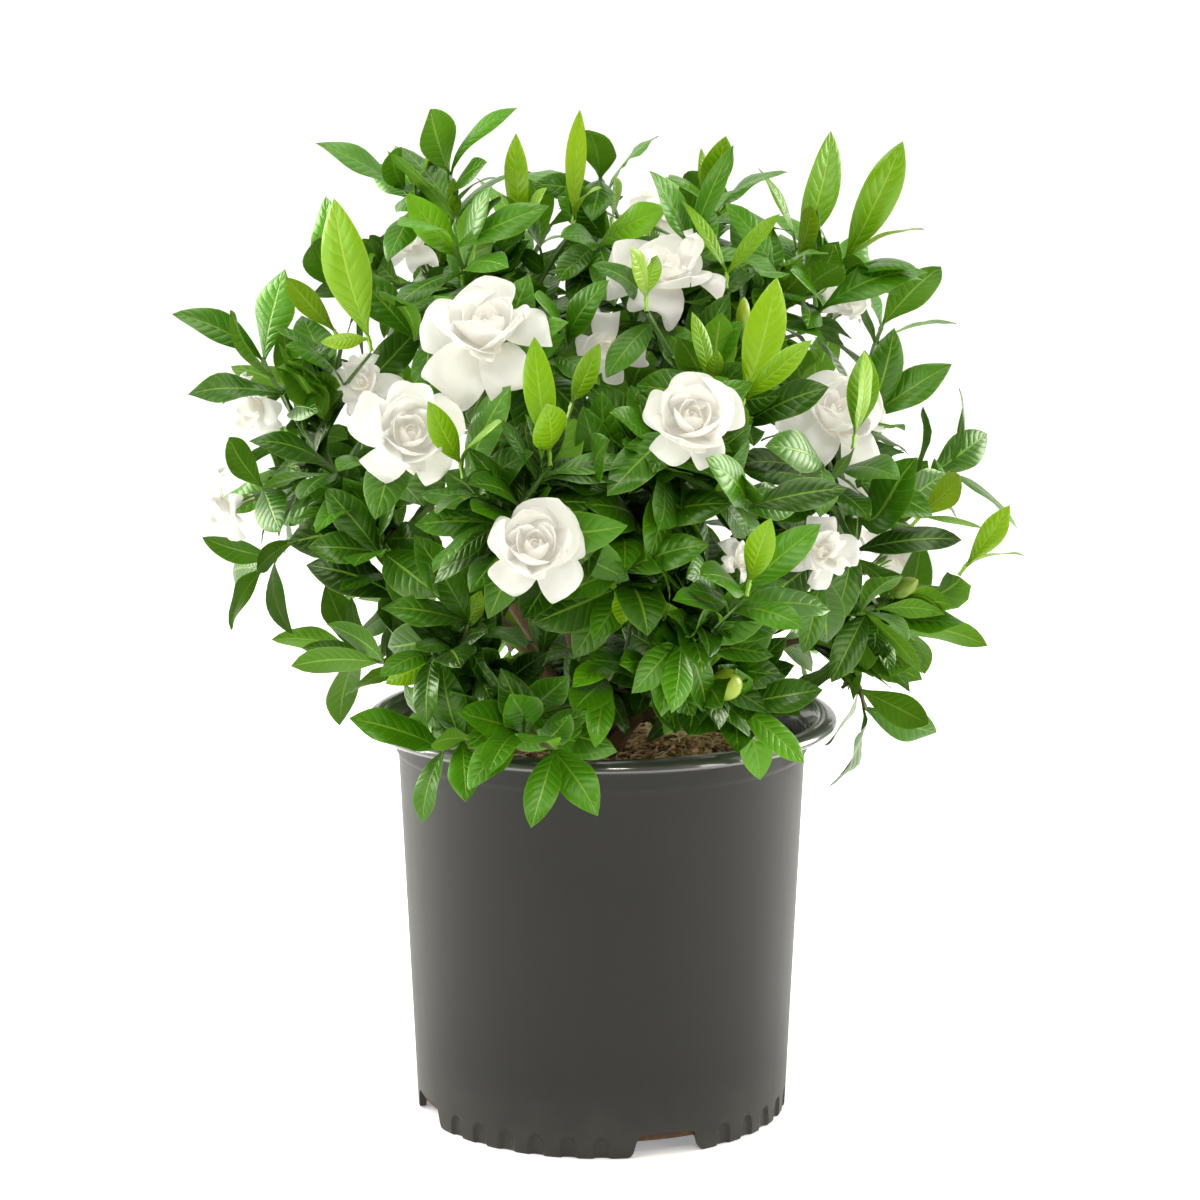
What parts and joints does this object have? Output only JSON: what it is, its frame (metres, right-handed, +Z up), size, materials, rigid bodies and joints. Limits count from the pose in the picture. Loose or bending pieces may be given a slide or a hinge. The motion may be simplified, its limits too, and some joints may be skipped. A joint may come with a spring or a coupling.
{
  "type": "potted gardenia",
  "caption": "Rounded gardenia shrub with glossy leaves, lime young shoots, double white blooms and buds, standing in a plain black round nursery pot with a flared lip.",
  "frame": {"origin": "on the ground under the middle of the pot and of the whole plant", "axes": "+Z up along the pot's axis, -Y towards the front that the picture shows, +X to its right"},
  "size_m": [0.4952, 0.4988, 0.5991],
  "materials": {
    "pot": "charcoal moulded plastic with a soft sheen",
    "potting_mix": "damp dark bark and peat, fully matte",
    "wood": "thin grey-brown bark",
    "spray": "glossy dark green leaves, lighter and duller below",
    "young_shoot": "glossy lime green young leaves",
    "bloom": "soft cream-white petals, warmer in the heart",
    "bud": "satin yellow-green bud with swirled seams"
  },
  "bodies": {
    "root": {"bloom_back_left": "bloom", "bloom_back_middle": "bloom", "bloom_back_right": "bloom", "bloom_back_top_left": "bloom", "bloom_back_top_right": "bloom", "bloom_crown_left": "bloom", "bloom_far_left_lower": "bloom", "bloom_far_left_upper": "bloom", "bloom_front_left": "bloom", "bloom_front_middle": "bloom", "bloom_half_open": "bloom", "bloom_inner_left": "bloom", "bloom_low_middle": "bloom", "bloom_low_right": "bloom", "bloom_middle": "bloom", "bloom_right": "bloom", "bloom_right_lower": "bloom", "bloom_upper": "bloom", "bud_oval_low": "bud", "bud_oval_right": "bud", "bud_round": "bud", "bud_slim": "bud", "pot": "pot", "potting_mix": "potting_mix", "spray_high_1": "spray", "spray_high_2": "spray", "spray_high_3": "spray", "spray_high_4": "spray", "spray_low_1": "spray", "spray_low_2": "spray", "spray_low_3": "spray", "spray_low_4": "spray", "spray_low_5": "spray", "spray_low_6": "spray", "spray_middle_1": "spray", "spray_middle_2": "spray", "spray_middle_3": "spray", "spray_middle_4": "spray", "spray_middle_5": "spray", "spray_middle_6": "spray", "trunk_and_limbs": "wood", "young_shoot_before_bloom": "young_shoot", "young_shoot_by_upper_bloom": "young_shoot", "young_shoot_crest_long": "young_shoot", "young_shoot_crest_pair": "young_shoot", "young_shoot_crest_small": "young_shoot", "young_shoot_far_right": "young_shoot", "young_shoot_far_right_low": "young_shoot", "young_shoot_far_right_top": "young_shoot", "young_shoot_left": "young_shoot", "young_shoot_left_small": "young_shoot", "young_shoot_low_right": "young_shoot", "young_shoot_middle_folded": "young_shoot", "young_shoot_middle_slim": "young_shoot", "young_shoot_middle_tall": "young_shoot", "young_shoot_right_gloss": "young_shoot", "young_shoot_right_lime": "young_shoot", "young_shoot_right_tall": "young_shoot", "young_shoot_top_left": "young_shoot", "young_shoot_top_tall": "young_shoot"}
  },
  "joints": []
}
